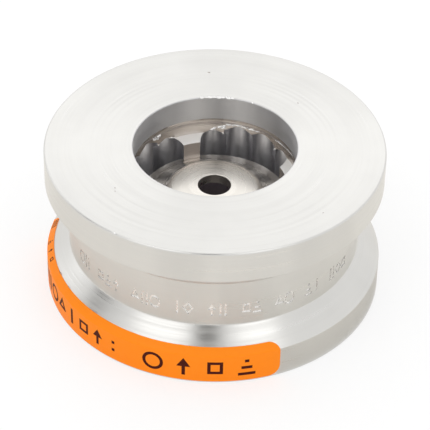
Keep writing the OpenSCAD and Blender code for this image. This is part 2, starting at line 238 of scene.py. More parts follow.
class ValveStage(bpy.types.PropertyGroup):
    elevation: degrees("Camera elevation", "Height of the camera over the horizon", 38.57)
    roll: degrees("Camera roll", "Turn of the camera about its own axis", -1.16)
    distance: length("Camera distance", "Distance from the point looked at", 608.9)
    focal: length("Focal length", "Lens for a 36 mm wide sensor", 181.3)
    aim_x: length("Aim", "Sideways place of the point looked at", 0.33)
    aim_z: length("Aim height", "Height of the point looked at", 20.51)


def outline(corners):
    """Profile points from corners (radius, height, rounding). A rounded corner becomes an arc."""
    points = []
    count = len(corners)
    for i, (r, z, rounding) in enumerate(corners):
        here = Vector((r, z))
        if rounding == 0:
            points.append(here)
            continue
        back = (Vector(corners[i - 1][:2]) - here).normalized()
        ahead = (Vector(corners[(i + 1) % count][:2]) - here).normalized()
        half = back.angle(ahead) / 2
        reach = rounding / math.tan(half)
        centre = here + (back + ahead).normalized() * rounding / math.sin(half)
        first = here + back * reach - centre
        turn = first.angle_signed(here + ahead * reach - centre)
        points.append(here + back * (reach + HOLD))
        for k in range(EDGE_STEPS + 1):
            points.append(centre + Matrix.Rotation(-turn * k / EDGE_STEPS, 2) @ first)
        points.append(here + ahead * (reach + HOLD))
    return points


def arc(centre_z, ball_r, from_r, to_r, steps, below=False):
    """Corners along a ball that is centred on the axis, from one radius to another."""
    side = -1 if below else 1
    corners = []
    for k in range(steps + 1):
        r = from_r + (to_r - from_r) * k / steps
        corners.append((r, centre_z + side * math.sqrt(ball_r ** 2 - r ** 2), 0))
    return corners


def skin(mesh, rings):
    """Faces from each ring of points to the next."""
    for here, after in zip(rings, rings[1:]):
        for j in range(len(here)):
            k = (j + 1) % len(here)
            mesh.faces.new((here[j], after[j], after[k], here[k]))


def turned(corners, steps=SMALL_STEPS):
    """Closed mesh of a profile turned round the Z axis."""
    points = outline(corners)
    mesh = bmesh.new()
    rings = []
    for i in range(steps):
        a = 2 * math.pi * i / steps
        rings.append([mesh.verts.new(at(r, a, z)) for r, z in points])
    skin(mesh, [*rings, rings[0]])
    bmesh.ops.remove_doubles(mesh, verts=mesh.verts, dist=0.0001 * MM)
    bmesh.ops.recalc_face_normals(mesh, faces=mesh.faces)
    return mesh


def box_mesh(size, centre):
    mesh = bmesh.new()
    place = Matrix.Translation(centre) @ Matrix.Diagonal((*size, 1))
    bmesh.ops.create_cube(mesh, size=1, matrix=place)
    return mesh


def gathered(copies):
    """One mesh from several (mesh, matrix) pairs."""
    whole = bmesh.new()
    for mesh, matrix in copies:
        part = bpy.data.meshes.new("part")
        mesh.to_mesh(part)
        part.transform(matrix)
        whole.from_mesh(part)
        bpy.data.meshes.remove(part)
    return whole


def linked(name, data):
    thing = bpy.data.objects.new(name, data)
    bpy.context.scene.collection.objects.link(thing)
    return thing


def as_object(name, mesh, material):
    data = bpy.data.meshes.new(name)
    mesh.to_mesh(data)
    mesh.free()
    data.materials.append(material)
    return linked(name, data)


def cut_away(piece, cutter):
    """Takes the cutter's solid out of the piece. The cut faces keep the cutter's material."""
    cut = piece.modifiers.new("cut", "BOOLEAN")
    cut.operation = "DIFFERENCE"
    cut.solver = "MANIFOLD"
    cut.material_mode = "TRANSFER"
    cut.object = cutter
    before = piece.data
    evaluated = piece.evaluated_get(bpy.context.evaluated_depsgraph_get())
    piece.data = bpy.data.meshes.new_from_object(evaluated)
    piece.modifiers.remove(cut)
    name = before.name
    bpy.data.meshes.remove(before)
    piece.data.name = name
    bpy.data.objects.remove(cutter)
    if len(piece.data.polygons) == 0:
        raise RuntimeError(f"the cut left nothing of {piece.name}")


def finish_piece(piece, body, nodes=()):
    """Smooth faces with sharp edges where the surface turns, and a place on its body."""
    mesh = bmesh.new()
    mesh.from_mesh(piece.data)
    for face in mesh.faces:
        face.smooth = True
    for edge in mesh.edges:
        edge.smooth = len(edge.link_faces) == 2 and edge.calc_face_angle() < SHARP_ANGLE
    mesh.to_mesh(piece.data)
    mesh.free()
    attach(piece, body)
    if nodes:
        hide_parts(*nodes)


def turned_piece(name, corners, material, body, node, steps=FINE_STEPS):
    """Turned piece that needs no cut, on its body and in the place of its node."""
    finish_piece(as_object(name, turned(corners, steps), material), body, [node])


def band(sides, turn, width=0.15):
    """Quads of a closed band, such as a ring or a triangle, round the middle of a unit box."""
    inner = 0.5 - width / math.cos(math.pi / sides)
    corners = []
    for i in range(sides):
        a = turn + 2 * math.pi * i / sides
        corners.append(Vector((math.cos(a), math.sin(a))))
    middle = Vector((0, 0.5))
    quads = []
    for i, here in enumerate(corners):
        after = corners[(i + 1) % sides]
        outside = [middle + here * 0.5, middle + after * 0.5]
        quads.append([*outside, middle + after * inner, middle + here * inner])
    return quads


def block(x0, y0, x1, y1):
    return [(x0, y0), (x1, y0), (x1, y1), (x0, y1)]


# Plain marks in a unit box, each a list of polygons: no letters, and nothing that names anyone
MARKS = {
    "arrow": [[(-0.08, 0), (0.08, 0), (0.08, 0.5), (0.32, 0.5), (0, 1), (-0.32, 0.5), (-0.08, 0.5)]],
    "ring": band(24, 0),
    "square": band(4, math.pi / 4),
    "diamond": band(4, 0),
    "triangle": band(3, math.pi / 2),
    "bars": [block(-0.3, 0, -0.12, 1), block(0.12, 0, 0.3, 1)],
    "bar": [block(-0.09, 0, 0.09, 1)],
    "dots": [block(-0.09, 0.12, 0.09, 0.3), block(-0.09, 0.62, 0.09, 0.8)],
    "steps": [block(-0.4, 0, 0.4, 0.16), block(-0.25, 0.38, 0.25, 0.54), block(-0.1, 0.76, 0.1, 0.92)],
}


def face_outwards(mesh):
    """Turns the faces of every closed shell so that its volume is positive, however thin it is."""
    bmesh.ops.recalc_face_normals(mesh, faces=mesh.faces)
    left = set(mesh.faces)
    while left:
        shell = [left.pop()]
        for face in shell:
            for edge in face.edges:
                for neighbour in edge.link_faces:
                    if neighbour in left:
                        left.remove(neighbour)
                        shell.append(neighbour)
        origin = shell[0].verts[0].co
        volume = 0
        for face in shell:
            corners = [vert.co - origin for vert in face.verts]
            for here, after in zip(corners[1:], corners[2:]):
                volume += corners[0].dot(here.cross(after))
        if volume < 0:
            bmesh.ops.reverse_faces(mesh, faces=shell)


def bent_plate(polygons, low_w, high_w, place, step, folds=()):
    """Plate of flat polygons (u, v), as thick as high_w less low_w, bent by place(u, v, w)."""
    mesh = bmesh.new()
    for polygon in polygons:
        mesh.faces.new([mesh.verts.new((p[0], p[1], low_w)) for p in polygon])
    bmesh.ops.remove_doubles(mesh, verts=mesh.verts, dist=0.001 * MM)
    bmesh.ops.triangulate(mesh, faces=[f for f in mesh.faces if len(f.verts) > 4])
    first = min(v.co.x for v in mesh.verts)
    last = max(v.co.x for v in mesh.verts)
    cuts = [(Vector((first + step * k, 0, 0)), Vector((1, 0, 0)))
            for k in range(1, math.ceil((last - first) / step))]
    cuts += [(Vector((0, v, 0)), Vector((0, 1, 0))) for v in folds]
    for point, normal in cuts:
        bmesh.ops.bisect_plane(
            mesh, geom=mesh.verts[:] + mesh.edges[:] + mesh.faces[:], dist=0.0005 * MM,
            plane_co=point, plane_no=normal)
    raised = bmesh.ops.extrude_face_region(mesh, geom=mesh.faces[:])
    for part in raised["geom"]:
        if isinstance(part, bmesh.types.BMVert):
            part.co.z = high_w
    bmesh.ops.recalc_face_normals(mesh, faces=mesh.faces)
    for vert in mesh.verts:
        vert.co = place(*vert.co)
    face_outwards(mesh)
    return mesh


def row_of_marks(names, height, gap, group_gap, narrow=1):
    """Polygons (u, v) of a row of marks that is centred on u = 0. An empty name is a gap."""
    placed = []
    u = 0
    for name in names:
        if not name:
            u += group_gap
            continue
        placed.append((name, u))
        u += gap
    middle = (placed[0][1] + placed[-1][1]) / 2
    polygons = []
    for name, place in placed:
        for polygon in MARKS[name]:
            polygons.append([(place - middle + x * height * narrow, y * height) for x, y in polygon])
    return polygons


def add(tree, kind, inputs=None, **settings):
    """Adds a node. A node output among the inputs is linked, and anything else is set."""
    node = tree.nodes.new(kind)
    for name, value in settings.items():
        setattr(node, name, value)
    for name, value in (inputs or {}).items():
        if isinstance(value, bpy.types.NodeSocket):
            tree.links.new(value, node.inputs[name])
        else:
            node.inputs[name].default_value = value
    return node


def new_material(name):
    material = bpy.data.materials.new(name)
    material.use_nodes = True
    material.node_tree.nodes.clear()
    return material, material.node_tree


def shades(tree, factor, base, tone):
    """Colour that drifts from a darker to a lighter base by that tone, as the factor runs from 0 to 1."""
    darker = [part * (1 - tone) for part in base]
    lighter = [min(1, part * (1 + tone)) for part in base]
    # Inputs 6 and 7 and output 2 are the ones for colours
    mix = add(tree, "ShaderNodeMix", {0: factor, 6: (*darker, 1), 7: (*lighter, 1)}, data_type="RGBA")
    return mix.outputs[2]


def lathe_lines(tree, spacing, wobble):
    """Fine lines that run round the Z axis, as a turning tool leaves them, from 0 to 1."""
    place = add(tree, "ShaderNodeTexCoord")
    parts = add(tree, "ShaderNodeSeparateXYZ", {"Vector": place.outputs["Object"]})
    flat = add(tree, "ShaderNodeCombineXYZ", {"X": parts.outputs["X"], "Y": parts.outputs["Y"]})
    out = add(tree, "ShaderNodeVectorMath", {0: flat.outputs["Vector"]}, operation="LENGTH")
    around = add(tree, "ShaderNodeVectorMath", {0: flat.outputs["Vector"]}, operation="NORMALIZE")
    drift = add(tree, "ShaderNodeVectorMath", {0: around.outputs["Vector"], "Scale": wobble},
                operation="SCALE")
    both = add(tree, "ShaderNodeCombineXYZ", {"X": out.outputs["Value"], "Z": parts.outputs["Z"]})
    where = add(tree, "ShaderNodeVectorMath",
                {0: both.outputs["Vector"], 1: drift.outputs["Vector"]}, operation="ADD")
    lines = add(tree, "ShaderNodeTexNoise",
                {"Vector": where.outputs["Vector"], "Scale": 1 / spacing, "Detail": 3})
    return place.outputs["Object"], lines.outputs["Fac"]


def steel(name, base, roughness, spacing, depth, stretch, cloud=14 * MM, tone=0.06, upright=False):
    """Worked stainless steel. Lines round the axis catch the light, and its tone drifts in soft bands.

    Real tool lines are about 0.1 mm apart, too fine to show, so their spacing is drawn coarser.
    Stretch is how far the highlights are drawn out across the lines, or upright on drilled walls.
    """
    material, tree = new_material(name)
    place, lines = lathe_lines(tree, spacing, 0.4 * MM)
    squat = add(tree, "ShaderNodeVectorMath", {0: place, 1: (1, 1, 0.15)}, operation="MULTIPLY")
    clouds = add(tree, "ShaderNodeTexNoise",
                 {"Vector": squat.outputs["Vector"], "Scale": 1 / cloud, "Detail": 4})
    rough = add(tree, "ShaderNodeMapRange", {
        "Value": lines, "From Min": 0.3, "From Max": 0.7,
        "To Min": roughness * 0.8, "To Max": roughness * 1.2})
    bump = add(tree, "ShaderNodeBump", {"Height": lines, "Distance": depth, "Strength": 1})
    shader = add(tree, "ShaderNodeBsdfPrincipled", {
        "Base Color": shades(tree, clouds.outputs["Fac"], base, tone),
        "Metallic": 1,
        "Roughness": rough.outputs["Result"],
        "Normal": bump.outputs["Normal"]})
    if stretch:
        shader.inputs["Anisotropic"].default_value = stretch
        if upright:
            along = add(tree, "ShaderNodeCombineXYZ", {"Z": 1})
        else:
            shader.inputs["Anisotropic Rotation"].default_value = 0.25
            along = add(tree, "ShaderNodeTangent", direction_type="RADIAL", axis="Z")
        tree.links.new(along.outputs[0], shader.inputs["Tangent"])
    add(tree, "ShaderNodeOutputMaterial", {"Surface": shader.outputs[0]})
    return material


def grained(name, base, roughness, ior, grain, depth, tone=0.05, sheen=0.5, metal=0):
    """Surface with an even fine grain: a polymer, or torn metal. Half sheen is a bare polymer's own.

    A real grain under about 0.2 mm is too fine to show, so such a one is drawn coarser.
    """
    material, tree = new_material(name)
    place = add(tree, "ShaderNodeTexCoord").outputs["Object"]
    dust = add(tree, "ShaderNodeTexNoise", {"Vector": place, "Scale": 1 / grain, "Detail": 5})
    bump = add(tree, "ShaderNodeBump",
               {"Height": dust.outputs["Fac"], "Distance": depth, "Strength": 1})
    shader = add(tree, "ShaderNodeBsdfPrincipled", {
        "Base Color": shades(tree, dust.outputs["Fac"], base, tone),
        "Roughness": roughness,
        "Metallic": metal,
        "IOR": ior,
        "Specular IOR Level": sheen,
        "Normal": bump.outputs["Normal"]})
    add(tree, "ShaderNodeOutputMaterial", {"Surface": shader.outputs[0]})
    return material


def body_corners(sizes):
    """Profile of the turned body, with the ribs still a full ring."""
    body_r = radius("valve_body")
    body_len = top("valve_body")
    neck_r = sizes.neck_d / 2
    cone_len = (body_r - neck_r) / math.tan(sizes.cone_angle)
    outlet_r = sizes.outlet_d / 2
    wall_r = sizes.wall_d / 2
    guide_r = sizes.guide_d / 2
    recess_r = sizes.recess_d / 2
    thread_r = sizes.thread_d / 2
    seat_top = top("seat_ring")
    ring_top = top("retaining_ring")
    ledge_z = body_len - sizes.ledge_depth
    shoulder_z = body_len - sizes.shoulder_depth
    groove_top = Vector((outlet_r, body_len - sizes.outlet_len))
    groove_low = Vector((wall_r, groove_top.y - sizes.groove_len))
    crisp = 0.12 * MM
    corners = [
        (thread_r, 0, 0.3 * MM),
        (body_r, 0, sizes.edge_r),
        (body_r, sizes.rim_len, crisp),
        (neck_r, sizes.rim_len + cone_len, 0.4 * MM),
        (neck_r, body_len - sizes.rim_len - cone_len, 0.4 * MM),
        (body_r, body_len - sizes.rim_len, crisp),
        (body_r, body_len, sizes.edge_r),
        (outlet_r, body_len, 0.3 * MM),
    ]
    along = groove_low - groove_top
    outward = Vector((-along.y, along.x)).normalized()
    steps = 8
    for k in range(steps + 1):
        share = k / steps
        point = groove_top + along * share + outward * sizes.groove_sag * 4 * share * (1 - share)
        corners.append((point.x, point.y, 0))
    corners += [
        (wall_r, ledge_z, 0),
        (sizes.rib_d / 2, ledge_z - sizes.ledge_fall, crisp),
        (sizes.rib_d / 2, shoulder_z, crisp),
        (guide_r, shoulder_z, 0),
        (guide_r, seat_top, crisp),
        (recess_r, seat_top, 0),
        (recess_r, ring_top, crisp),
        (thread_r, ring_top, 0),
    ]
    return corners


class VALVE_OT_body(bpy.types.Operator):
    """Turned body with drilled pockets, lock pin holes, stamped marks, dents and burrs"""

    bl_idname = "valve.body"
    bl_label = "Body"

    def pockets(self, sizes, piece, finish):
        gap = 2 * math.pi / sizes.rib_count - sizes.rib_span
        cuts = math.ceil(gap / sizes.plunge_step)
        foot = top("seat_ring") - OVER
        drill_r = sizes.drill_d / 2
        middle = math.pi / 2 + sizes.rib_turn - math.pi / sizes.rib_count
        shift = Matrix.Translation((sizes.plunge_circle_d / 2, 0, 0))
        for i in range(cuts + 1):
            depth = sizes.short_depth if i in (0, cuts) else sizes.pocket_depth
            tip = top("valve_body") - depth
            wide = tip - drill_r / math.tan(sizes.point_angle / 2)
            plunge = turned([(0, foot, 0), (drill_r, foot, 0), (drill_r, wide, 0.1 * MM), (0, tip, 0)],
                            steps=64)
            copies = []
            for k in range(sizes.rib_count):
                turn = middle - 2 * math.pi * k / sizes.rib_count + gap * (i / cuts - 0.5)
                copies.append((plunge, Matrix.Rotation(turn, 4, "Z") @ shift))
            cut_away(piece, as_object("plunge", gathered(copies), finish))
            plunge.free()

    def stamps(self, sizes, piece, finish):
        neck_r = sizes.neck_d / 2
        foot_z = top("valve_body") - sizes.mark_drop
        names = ("ring", "bars", "", "square", "steps", "arrow", "", "triangle", "bars", "ring", "",
                 "bar", "diamond", "", "arrow", "bars", "", "square", "steps", "", "triangle", "ring", "",
                 "steps", "bar", "", "bars", "diamond", "square")
        marks = row_of_marks(names, sizes.mark_h, sizes.mark_pitch, sizes.mark_gap, sizes.mark_share)

        def on_neck(u, v, w):
            return at(neck_r + w, u / neck_r - math.pi / 2, foot_z + v)

        cutter = bent_plate(marks, -sizes.mark_depth, sizes.mark_depth, on_neck, 0.8 * MM)
        cut_away(piece, as_object("stamps", cutter, finish))

    def nicks(self, sizes, piece, glinting_metal, dull):
        """Small dents on the edges, and dull pits in the face, where hard things have struck them."""
        edge_r = sizes.outlet_d / 2
        face_z = top("valve_body")
        # Degrees round the axis, millimetres outside the port's edge, and the size of the thing
        struck = ((78, 0, 0.5), (81, 0, 0.8), (85, 0, 0.6), (88, 0, 0.9), (91, 0, 0.6), (94, 0, 0.8),
                  (97, 0, 0.5), (100, 0, 0.7), (63, 0, 0.35), (237, 24.4, 0.5), (251, 24.4, 0.4),
                  (93.7, 12.2, 0.35), (41.8, 8.3, 0.25), (315, 18.2, 0.2), (217, 10.6, 0.22),
                  (219, 11.4, 0.18))
        for round_deg, out, size in struck:
            a = math.radians(round_deg)
            dent = bmesh.new()
            bmesh.ops.create_icosphere(dent, subdivisions=2, radius=size * MM)
            place = Matrix.Translation(at(edge_r + out * MM, a, face_z + 0.3 * size * MM))
            turn = Matrix.Rotation(a + 1.2, 4, "Z")
            dent.transform(place @ turn @ Matrix.Diagonal((1.4, 0.8, 0.8, 1)))
            on_edge = out == 0 or out > 20
            # Dents on the edges take the near-white steel of painted highlights, and pits in the face the
            # darker rib steel
            cut_away(piece, as_object("dent", dent, glinting_metal if on_edge else dull))

    def burrs(self, sizes, torn):
        """Flakes that the drill has torn out along the groove's lower edge and at the cusps."""
        chance = random.Random(7)
        edge_r = sizes.wall_d / 2
        face_z = top("valve_body")
        # First and last degree round the axis, depth and size in millimetres, and number of flakes
        runs = ((58, 83, 9.9, 0.3, 44), (83, 88, 10.9, 0.55, 12), (89.5, 93, 11.5, 0.4, 6),
                (132.5, 138, 10.3, 0.55, 14), (119.5, 124, 12.5, 0.35, 5), (22, 44, 9.9, 0.2, 44))
        copies = []
        for first, last, depth, size, count in runs:
            for k in range(count):
                flake = bmesh.new()
                bmesh.ops.create_icosphere(flake, subdivisions=1, radius=size * MM * chance.uniform(0.5, 1))
                a = math.radians(first + (last - first) * (k + chance.random()) / count)
                z = face_z - (depth + size * chance.uniform(-0.8, 0.8)) * MM
                place = Matrix.Translation(at(edge_r, a, z))
                turn = Matrix.Rotation(a + math.pi / 2 + chance.uniform(-0.5, 0.5), 4, "Z")
                lean = Matrix.Rotation(chance.uniform(0.45, 1), 4, "X")
                copies.append((flake, place @ turn @ lean @ Matrix.Diagonal((1.5, 0.35, 0.9, 1))))
        # The flakes' near-white mottled steel paints highlights and glints along the edges
        piece = as_object("torn_burrs", gathered(copies), torn)
        for flake, place in copies:
            flake.free()
        finish_piece(piece, "casing")

    def execute(self, context):
        sizes = context.scene.valve_body_sizes
        colours = context.scene.valve_colours
        # Stainless bar turned with a fine feed: satin, with highlights drawn out along the axis
        satin = steel("turned_stainless", colours.body, 0.34, 0.5 * MM, 0.0008 * MM, 0.75)
        # The drill leaves rings in the pockets it plunges: they draw the light out into upright streaks.
        # The base, lighter than the outside's, is painted light in the deep pockets
        drilled = steel("drilled_stainless_painted_light", colours.pocket, 0.38, 0.4 * MM, 0.003 * MM, 0.85,
                        5 * MM, 0.12, upright=True)
        # Cold metal pushed aside by the punch, or torn by the drill: rough, with a near-white base and a
        # mottled tone that paint bright highlights, glints and grey shade
        punched_glint = grained("punched_stainless_glint", colours.torn, 0.22, 1.5, 0.8 * MM, 0.25 * MM, 0.25, metal=1)
        # The outlet is bored with a long tool: duller than the outside
        bored = steel("bored_stainless", colours.bore, 0.44, 0.3 * MM, 0.002 * MM, 0.85, 6 * MM, 0.1)
        # The groove is turned with a form tool: smooth
        formed = steel("form_turned_stainless", colours.formed, 0.24, 0.5 * MM, 0.0005 * MM, 0.6)
        # The ledges are faced on slowly turning ribs: open grain that takes in the light from above, and a
        # near-white base that is painted light on them
        faced_painted_light = steel("faced_stainless_painted_light", colours.ledge, 0.6, 0.4 * MM, 0.002 * MM, 0.3)
        # The ribs are reamed in the last cut: streaky, with a dark base that is painted shade on them; it
        # also darkens the dull pits in the face
        rib_shade_and_dull_pits = steel("reamed_stainless_shade_and_pits", colours.rib, 0.4, 0.3 * MM, 0.003 * MM, 0.3, 4 * MM, 0.1)
        piece = as_object("turned_body", turned(body_corners(sizes), FINE_STEPS), satin)
        # Faces inside the bore take the bore, groove, ledge and rib steels by depth: painted light on the
        # ledges and painted shade on the ribs
        inside_r = sizes.wall_d / 2 + sizes.groove_sag
        ends = (sizes.outlet_len, sizes.ledge_depth - 0.1 * MM, sizes.ledge_depth + sizes.ledge_fall,
                top("valve_body"))
        for material in (bored, formed, faced_painted_light, rib_shade_and_dull_pits):
            piece.data.materials.append(material)
        for face in piece.data.polygons:
            if math.hypot(face.center.x, face.center.y) < inside_r:
                depth = ends[-1] - face.center.z
                face.material_index = 1 + sum(depth > end for end in ends)
        self.pockets(sizes, piece, drilled)
        cut_away(piece, pins("pin_holes", sizes, -OVER, 0, 0, satin))
        # Stamps, edge dents and flakes take the near-white mottled steel: painted highlights and glints
        # with grey painted shade
        self.stamps(sizes, piece, punched_glint)
        self.nicks(sizes, piece, punched_glint, rib_shade_and_dull_pits)
        self.burrs(sizes, punched_glint)
        finish_piece(piece, "casing", ["valve_body"])
        return {"FINISHED"}


def pins(name, sizes, foot_z, foot_round, head_round, material):
    """Lock pins, or cutters for their holes, which stand on the thread's circle."""
    pin_r = sizes.pin_d / 2
    head_z = top("retaining_ring_pins")
    pin = turned([(0, foot_z, 0), (pin_r, foot_z, foot_round), (pin_r, head_z, head_round),
                  (0, head_z, 0)], steps=32)
    copies = []
    for i in range(sizes.pin_count):
        turn = Matrix.Rotation(2 * math.pi * i / sizes.pin_count + math.pi / 4, 4, "Z")
        copies.append((pin, turn @ Matrix.Translation((sizes.thread_d / 2, 0, 0))))
    piece = as_object(name, gathered(copies), material)
    pin.free()
    return piece


class VALVE_OT_inlet(bpy.types.Operator):
    """Seat ring with its soft insert and O-ring, and the retaining ring with its lock pins"""

    bl_idname = "valve.inlet"
    bl_label = "Seat and retaining ring"

    def execute(self, context):
        sizes = context.scene.valve_inlet_sizes
        body = context.scene.valve_body_sizes
        colours = context.scene.valve_colours
        # Stainless rings ground flat: finer lines than the body
        ground = steel("ground_stainless", colours.ring, 0.3, 0.4 * MM, 0.001 * MM, 0.6)
        # Pressed and sintered fluoropolymer: white, waxy and slightly see-through at the edges
        white = grained("white_fluoropolymer", colours.ptfe, 0.45, 1.35, 0.5 * MM, 0.002 * MM, 0.02)
        # Moulded rubber cord: black, with a dull sheen
        rubber = grained("fluorocarbon_rubber", colours.rubber, 0.55, 1.5, 0.3 * MM, 0.004 * MM, 0.2)
        # Dowel pins of ground and hardened steel
        dowel = steel("dowel_steel", colours.fastener, 0.28, 0.3 * MM, 0.001 * MM, 0)
        seat_r = sizes.seat_d / 2
        out_r = radius("seat_ring")
        seat_low = low("seat_ring")
        seat_top = top("seat_ring")
        insert_low, insert_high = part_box("seat_insert")
        groove_out = insert_high.x
        groove_in = groove_out - sizes.insert_w
        rebate_r = radius("seat_o_ring") - sizes.cord
        crisp = 0.1 * MM
        turned_piece("seat_ring_turned", [
            (seat_r, seat_low, 0.3 * MM), (out_r, seat_low, crisp), (out_r, seat_top - sizes.cord, crisp),
            (rebate_r, seat_top - sizes.cord, 0), (rebate_r, seat_top, crisp), (groove_out, seat_top, 0),
            (groove_out, insert_low.z, 0), (groove_in, insert_low.z, 0), (groove_in, seat_top, 0),
            (seat_r, seat_top, crisp)], ground, "casing", "seat_ring")
        turned_piece("seat_insert_moulded", [
            (groove_in, insert_low.z, 0), (groove_out, insert_low.z, 0),
            (groove_out, insert_high.z, 0.25 * MM), (groove_in, insert_high.z, 0.25 * MM)],
            white, "casing", "seat_insert")
        cord_r = sizes.cord / 2
        centre = (radius("seat_o_ring") - cord_r, top("seat_o_ring") - cord_r)
        around = [(centre[0] + cord_r * math.cos(a), centre[1] + cord_r * math.sin(a), 0)
                  for a in (2 * math.pi * k / 24 for k in range(24))]
        turned_piece("o_ring_cord", around, rubber, "casing", "seat_o_ring")
        ring_r = radius("retaining_ring")
        ring_low = low("retaining_ring")
        ring_top = top("retaining_ring")
        ring = as_object("retaining_ring_turned", turned([
            (sizes.inlet_d / 2, ring_low, 0.3 * MM), (ring_r, ring_low, 0.3 * MM), (ring_r, ring_top, 0),
            (sizes.inlet_d / 2, ring_top, crisp)], FINE_STEPS), ground)
        for i in range(sizes.notch_count):
            reach = sizes.notch_depth + OVER
            depth = sizes.notch_len + OVER
            notch = box_mesh(
                (reach, sizes.notch_w, depth),
                (sizes.inlet_d / 2 - OVER + reach / 2, 0, ring_low - OVER + depth / 2))
            upright = [e for e in notch.edges
                       if e.verts[0].co.x > sizes.inlet_d / 2 and e.verts[1].co.x > sizes.inlet_d / 2
                       and abs(e.verts[0].co.z - e.verts[1].co.z) > depth / 2]
            bmesh.ops.bevel(notch, geom=upright, offset=0.6 * MM, segments=5, affect="EDGES")
            notch.transform(Matrix.Rotation(2 * math.pi * i / sizes.notch_count, 4, "Z"))
            cut_away(ring, as_object("notch", notch, ground))
        cut_away(ring, pins("pin_holes", body, -OVER, 0, 0, ground))
        finish_piece(ring, "casing", ["retaining_ring"])
        dowels = pins("lock_pins", body, low("retaining_ring_pins"), 0.25 * MM, 0.1 * MM, dowel)
        finish_piece(dowels, "casing", ["retaining_ring_pins"])
        return {"FINISHED"}


class VALVE_OT_disc(bpy.types.Operator):
    """Dished disc with its rounded nose, guide stem and countersunk screw"""

    bl_idname = "valve.disc"
    bl_label = "Disc, stem and screw"

    def execute(self, context):
        sizes = context.scene.valve_disc_sizes
        colours = context.scene.valve_colours
        # Disc turned from bar: fine even lines
        satin = steel("disc_stainless", colours.body, 0.28, 0.4 * MM, 0.001 * MM, 0.6)
        # Stem ground between centres: the smoothest of the pieces
        ground = steel("ground_stem", colours.ring, 0.2, 0.3 * MM, 0.0006 * MM, 0.4)
        # Cold formed screw: a little darker and uneven
        formed = steel("formed_screw", colours.fastener, 0.36, 0.6 * MM, 0.002 * MM, 0, 2 * MM, 0.1)
        disc_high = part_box("valve_disc")[1]
        nose_r = sizes.nose_d / 2
        face_z = top("seat_insert")
        floor_z = face_z + sizes.floor_t
        ball_r = (nose_r ** 2 + sizes.nose_depth ** 2) / (2 * sizes.nose_depth)
        ball_z = face_z - sizes.nose_depth + ball_r
        disc_r = disc_high.x
        dish_r = disc_r - sizes.rim_w
        head_r = sizes.head_d / 2
        screw_r = sizes.screw_d / 2
        screw_low = low("disc_screw")
        head_z = screw_low + head_r - screw_r
        fit = 0.05 * MM
        crisp = 0.1 * MM
        nose = arc(ball_z, ball_r, head_r + 0.3 * MM, nose_r, 16, below=True)
        turned_piece("dished_disc", [
            (screw_r + fit, floor_z, 0), (screw_r + fit, head_z - fit, 0), (head_r, screw_low, 0),
            *nose, (disc_r, face_z, 0.3 * MM), (disc_r, disc_high.z, 0.3 * MM),
            (dish_r, disc_high.z, 0.2 * MM), (dish_r - sizes.floor_t, floor_z, 0.3 * MM)],
            satin, "disc", "valve_disc")
        stem_low, stem_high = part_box("guide_stem")
        stem_r = sizes.stem_d / 2
        collar_z = stem_low.z + sizes.collar_len
        shank_top = top("disc_screw")
        turned_piece("ground_stem", [
            (screw_r, stem_low.z, 0), (stem_high.x, stem_low.z, crisp), (stem_high.x, collar_z, 0.3 * MM),
            (stem_r, collar_z, 0), (stem_r, stem_high.z, 0.3 * MM), (0, stem_high.z, 0),
            (0, shank_top, 0), (screw_r, shank_top, 0)],
            ground, "disc", "guide_stem", SMALL_STEPS)
        screw = as_object("countersunk_screw", turned([
            (0, screw_low, 0), (head_r, screw_low, crisp), (screw_r, head_z, 0),
            (screw_r, shank_top, 0), (0, shank_top, 0)]), formed)
        across = sizes.socket_w / math.sqrt(3)
        depth = sizes.socket_depth
        socket = turned([(0, screw_low - OVER, 0), (across, screw_low - OVER, 0),
                         (across, screw_low + depth, 0), (0, screw_low + depth + across / 2, 0)], steps=6)
        cut_away(screw, as_object("socket", socket, formed))
        finish_piece(screw, "disc", ["disc_screw"])
        return {"FINISHED"}


